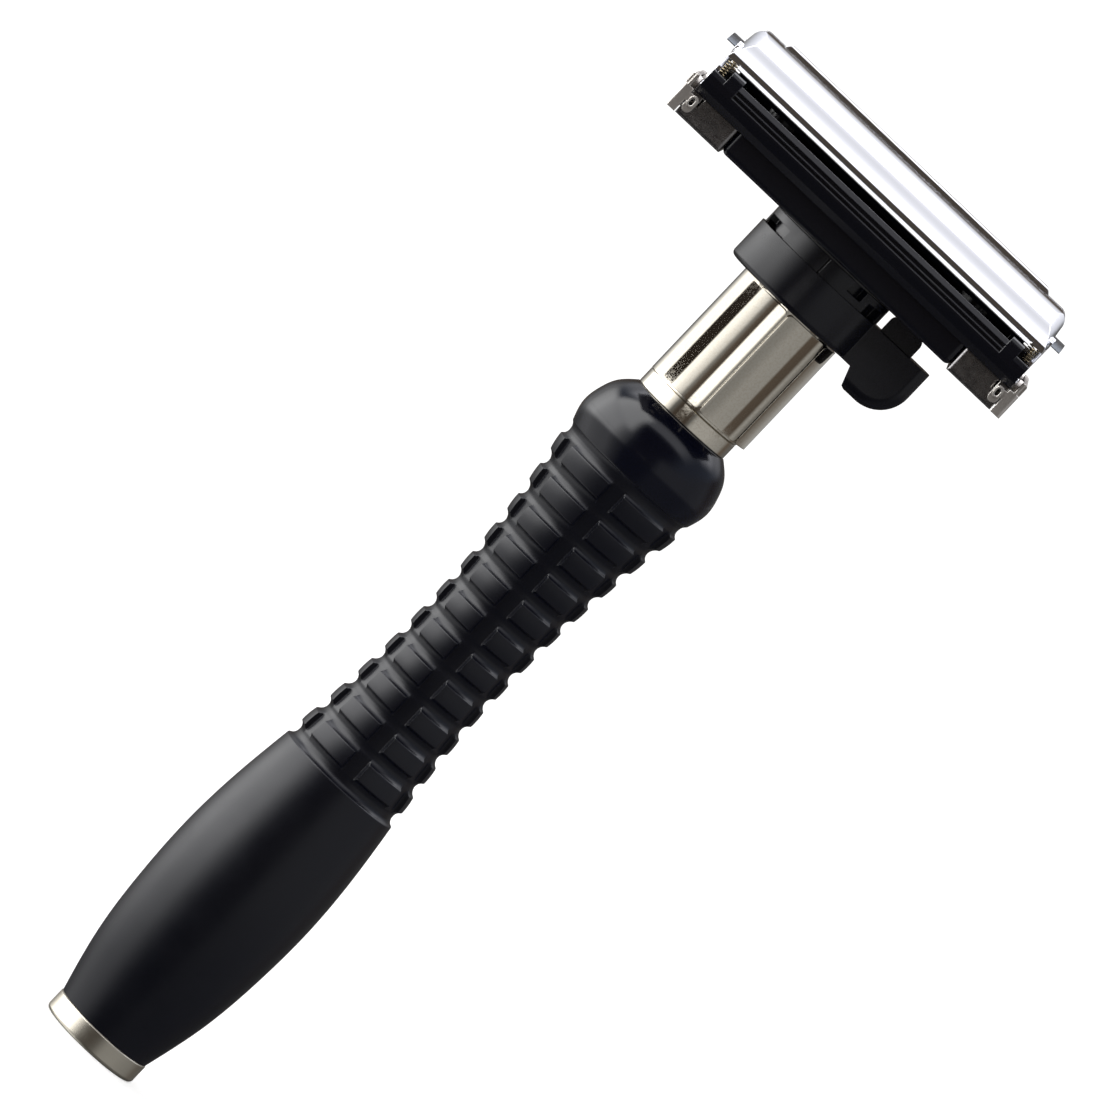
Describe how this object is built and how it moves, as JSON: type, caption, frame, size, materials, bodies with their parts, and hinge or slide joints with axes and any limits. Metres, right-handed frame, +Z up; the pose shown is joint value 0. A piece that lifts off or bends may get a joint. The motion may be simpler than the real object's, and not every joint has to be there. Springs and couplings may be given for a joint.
{
  "type": "double-edge safety razor",
  "caption": "Double-edge safety razor with butterfly doors that a thumb lever on the neck opens; ringed black handle and plated metal neck.",
  "frame": {"origin": "centre of the end cap's flat foot", "axes": "+Z up the handle to the head, +X along the head towards the thumb lever, -Y the front"},
  "size_m": [0.043, 0.0246, 0.115],
  "materials": {
    "black_grip": "satin black",
    "black_moulding": "fine-textured black",
    "washer_nylon": "smooth",
    "satin_nickel": "warm satin plate",
    "polished_nickel": "warm polished plate",
    "bright_nickel": "bright plated sheet",
    "scuffed_nickel": "dark plated sheet, lightly scuffed",
    "chrome_doors": "mirror plate",
    "blade_steel": "coated blade steel",
    "spring_steel": "dark drawn wire",
    "steel": "bright steel"
  },
  "bodies": {
    "handle_and_head": {"end_cap": "satin_nickel", "grip": "black_grip", "tie_rod": "steel", "neck_base": "polished_nickel", "neck_sleeve": "polished_nickel", "return_spring": "steel", "thrust_washer": "washer_nylon", "lower_bar": "black_moulding", "end_bracket_left": "scuffed_nickel", "end_bracket_right": "scuffed_nickel", "guard_body": "black_moulding", "end_plate_left": "bright_nickel", "end_plate_right": "bright_nickel", "end_plate_eyelets": "bright_nickel", "door_pivot_pins": "bright_nickel", "blade_platform": "black_moulding", "centre_spine": "chrome_doors", "blade": "blade_steel", "corner_springs": "spring_steel", "platform_screws": "steel", "bracket_screws": "steel"},
    "cam_lever": {"cam_collar": "black_moulding"},
    "lift_train": {"lift_stem": "steel", "follower_pin": "steel", "stem_clip": "steel", "spring_seat": "steel", "stem_nut": "steel", "lift_yoke": "steel"},
    "front_door_body": {"front_door": "chrome_doors", "front_link_pins": "steel"},
    "rear_door_body": {"rear_door": "chrome_doors", "rear_link_pins": "steel"}
  },
  "joints": [
    {"name": "lever_turn", "type": "hinge", "parent": "handle_and_head", "child": "cam_lever", "pos_m": [0, 0, 0.099], "axis": [0, 0, 1], "range_deg": [0, 90]},
    {"name": "yoke_lift", "type": "slide", "parent": "handle_and_head", "child": "lift_train", "axis": [0, 0, 1], "range_m": [0, 0.00309], "deforming": ["return_spring"]},
    {"name": "front_door_swing", "type": "hinge", "parent": "handle_and_head", "child": "front_door_body", "pos_m": [0, -0.0095, 0.1063], "axis": [1, 0, 0], "range_deg": [0, 80]},
    {"name": "rear_door_swing", "type": "hinge", "parent": "handle_and_head", "child": "rear_door_body", "pos_m": [0, 0.0095, 0.1063], "axis": [-1, 0, 0], "range_deg": [0, 80]}
  ],
  "couplings": [
    {"joint": "yoke_lift", "follows": "lever_turn", "m_per_rad": 0.001964},
    {"joint": "front_door_swing", "follows": "lever_turn", "ratio": 0.8888},
    {"joint": "rear_door_swing", "follows": "lever_turn", "ratio": 0.8888}
  ]
}
